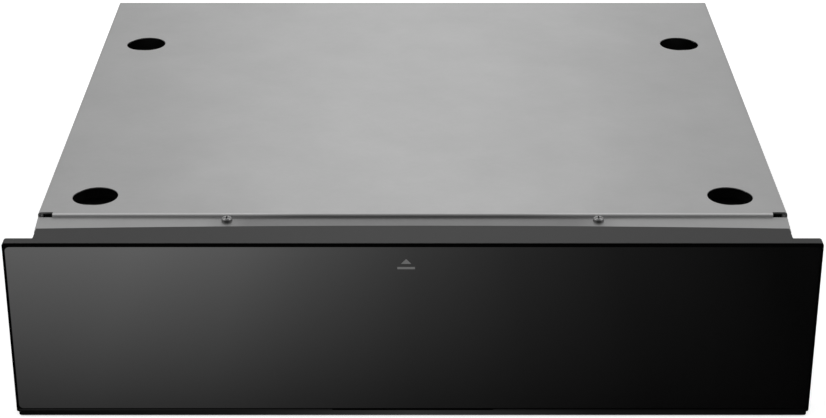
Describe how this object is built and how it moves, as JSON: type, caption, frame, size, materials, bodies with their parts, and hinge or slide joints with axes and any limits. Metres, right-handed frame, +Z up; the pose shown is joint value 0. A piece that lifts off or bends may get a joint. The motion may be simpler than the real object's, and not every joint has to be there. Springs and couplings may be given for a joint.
{
  "type": "built in warming drawer",
  "caption": "Built-in warming drawer with a black glass front, galvanised housing, push-to-open tray on ball runners and a fan-driven heater at the back",
  "frame": {"origin": "on the niche floor, under the middle of the closed drawer's overall box", "axes": "+X to the right as seen by a user in front, +Y from the glass front into the niche, +Z up"},
  "size_m": [0.594, 0.535, 0.1411],
  "materials": {
    "galvanised": "satin galvanised sheet",
    "frame_paint": "dark grey powder coat, satin",
    "black_enamel": "black enamel, matt",
    "insulation": "dark fibre mat",
    "black_plastic": "moulded, matt",
    "white_plastic": "moulded, satin",
    "zinc": "bright zinc plated",
    "heater_metal": "heat-darkened tube",
    "laminations": "stacked steel laminations",
    "coil_tape": "varnished winding under tape",
    "bright_aluminium": "pressed, bright",
    "ceramic_body": "unglazed, pale",
    "rail_steel": "bright drawn steel",
    "black_glass": "black glass, polished, opaque",
    "mark_print": "grey printed enamel",
    "trim_black": "black, semi gloss",
    "carrier_paint": "black paint, matt",
    "stainless": "brushed stainless steel",
    "mat_rubber": "ribbed, matt",
    "deck_black": "black, fine texture",
    "knob_black": "moulded, semi gloss",
    "lens_red": "red lens"
  },
  "bodies": {
    "housing": {"rear_panel": "galvanised", "base_pan": "galvanised", "side_panel_left": "galvanised", "side_panel_right": "galvanised", "top_cover": "galvanised", "front_beam": "galvanised", "rear_partition": "galvanised", "fan_plate": "galvanised", "motor_bridges": "galvanised", "front_frame": "frame_paint", "heat_shield": "black_enamel", "insulation_mat": "insulation", "feet": "black_plastic", "rear_screws": "zinc", "cover_screws": "zinc", "frame_rivets": "zinc", "latch_rivets": "zinc", "rail_screws_housing": "zinc", "heater_element": "heater_metal", "motor_stator": "laminations", "motor_coil": "coil_tape", "overheat_cutout": "ceramic_body", "cable_gland": "black_plastic", "terminal_block": "ceramic_body", "latch_body": "black_plastic", "rail_outer_left": "rail_steel", "rail_outer_right": "rail_steel"},
    "drawer": {"front_glass": "black_glass", "push_mark": "mark_print", "bottom_trim": "trim_black", "glass_carrier": "carrier_paint", "carrier_screws": "zinc", "drawer_floor": "stainless", "drawer_side_left": "stainless", "drawer_side_right": "stainless", "drawer_front_wall": "stainless", "drawer_rear_wall": "stainless", "non_slip_mat": "mat_rubber", "control_deck": "deck_black", "deck_screws": "zinc", "temperature_regulator": "white_plastic", "power_switch": "black_plastic", "indicator_lens": "lens_red", "latch_striker": "galvanised", "rail_inner_left": "rail_steel", "rail_inner_right": "rail_steel", "rail_screws_drawer": "zinc"},
    "middle_left": {"rail_middle_left": "rail_steel"},
    "middle_right": {"rail_middle_right": "rail_steel"},
    "outer_balls_left": {"balls_outer_left": "rail_steel"},
    "outer_balls_right": {"balls_outer_right": "rail_steel"},
    "inner_balls_left": {"balls_inner_left": "rail_steel"},
    "inner_balls_right": {"balls_inner_right": "rail_steel"},
    "knob": {"temperature_knob": "knob_black", "knob_spindle": "rail_steel"},
    "button": {"power_button": "knob_black"},
    "fan": {"fan_shaft": "rail_steel", "fan_impeller": "bright_aluminium"},
    "plunger": {"latch_plunger": "white_plastic"}
  },
  "joints": [
    {"name": "drawer_slide", "type": "slide", "parent": "housing", "child": "drawer", "axis": [0, -1, 0], "range_m": [-0.002, 0.385]},
    {"name": "middle_slide_left", "type": "slide", "parent": "housing", "child": "middle_left", "axis": [0, -1, 0], "range_m": [-0.001, 0.1925]},
    {"name": "outer_balls_slide_left", "type": "slide", "parent": "housing", "child": "outer_balls_left", "axis": [0, -1, 0], "range_m": [-0.0005, 0.09625]},
    {"name": "inner_balls_slide_left", "type": "slide", "parent": "housing", "child": "inner_balls_left", "axis": [0, -1, 0], "range_m": [-0.0015, 0.28875]},
    {"name": "middle_slide_right", "type": "slide", "parent": "housing", "child": "middle_right", "axis": [0, -1, 0], "range_m": [-0.001, 0.1925]},
    {"name": "outer_balls_slide_right", "type": "slide", "parent": "housing", "child": "outer_balls_right", "axis": [0, -1, 0], "range_m": [-0.0005, 0.09625]},
    {"name": "inner_balls_slide_right", "type": "slide", "parent": "housing", "child": "inner_balls_right", "axis": [0, -1, 0], "range_m": [-0.0015, 0.28875]},
    {"name": "knob_turn", "type": "hinge", "parent": "drawer", "child": "knob", "pos_m": [0.19, -0.2399, 0.118], "axis": [0, 0, 1], "range_deg": [-270, 0]},
    {"name": "button_press", "type": "slide", "parent": "drawer", "child": "button", "axis": [0, 0, 1], "range_m": [-0.002, 0], "stiffness_N_per_m": 400},
    {"name": "fan_turn", "type": "hinge", "parent": "housing", "child": "fan", "pos_m": [0, 0.2, 0.066], "axis": [0, 1, 0], "continuous": true},
    {"name": "plunger_slide", "type": "slide", "parent": "housing", "child": "plunger", "axis": [0, 1, 0], "range_m": [0, 0.005], "stiffness_N_per_m": 300}
  ],
  "couplings": [
    {"joint": "middle_slide_left", "follows": "drawer_slide", "ratio": 0.5},
    {"joint": "outer_balls_slide_left", "follows": "drawer_slide", "ratio": 0.25},
    {"joint": "inner_balls_slide_left", "follows": "drawer_slide", "ratio": 0.75},
    {"joint": "middle_slide_right", "follows": "drawer_slide", "ratio": 0.5},
    {"joint": "outer_balls_slide_right", "follows": "drawer_slide", "ratio": 0.25},
    {"joint": "inner_balls_slide_right", "follows": "drawer_slide", "ratio": 0.75}
  ]
}
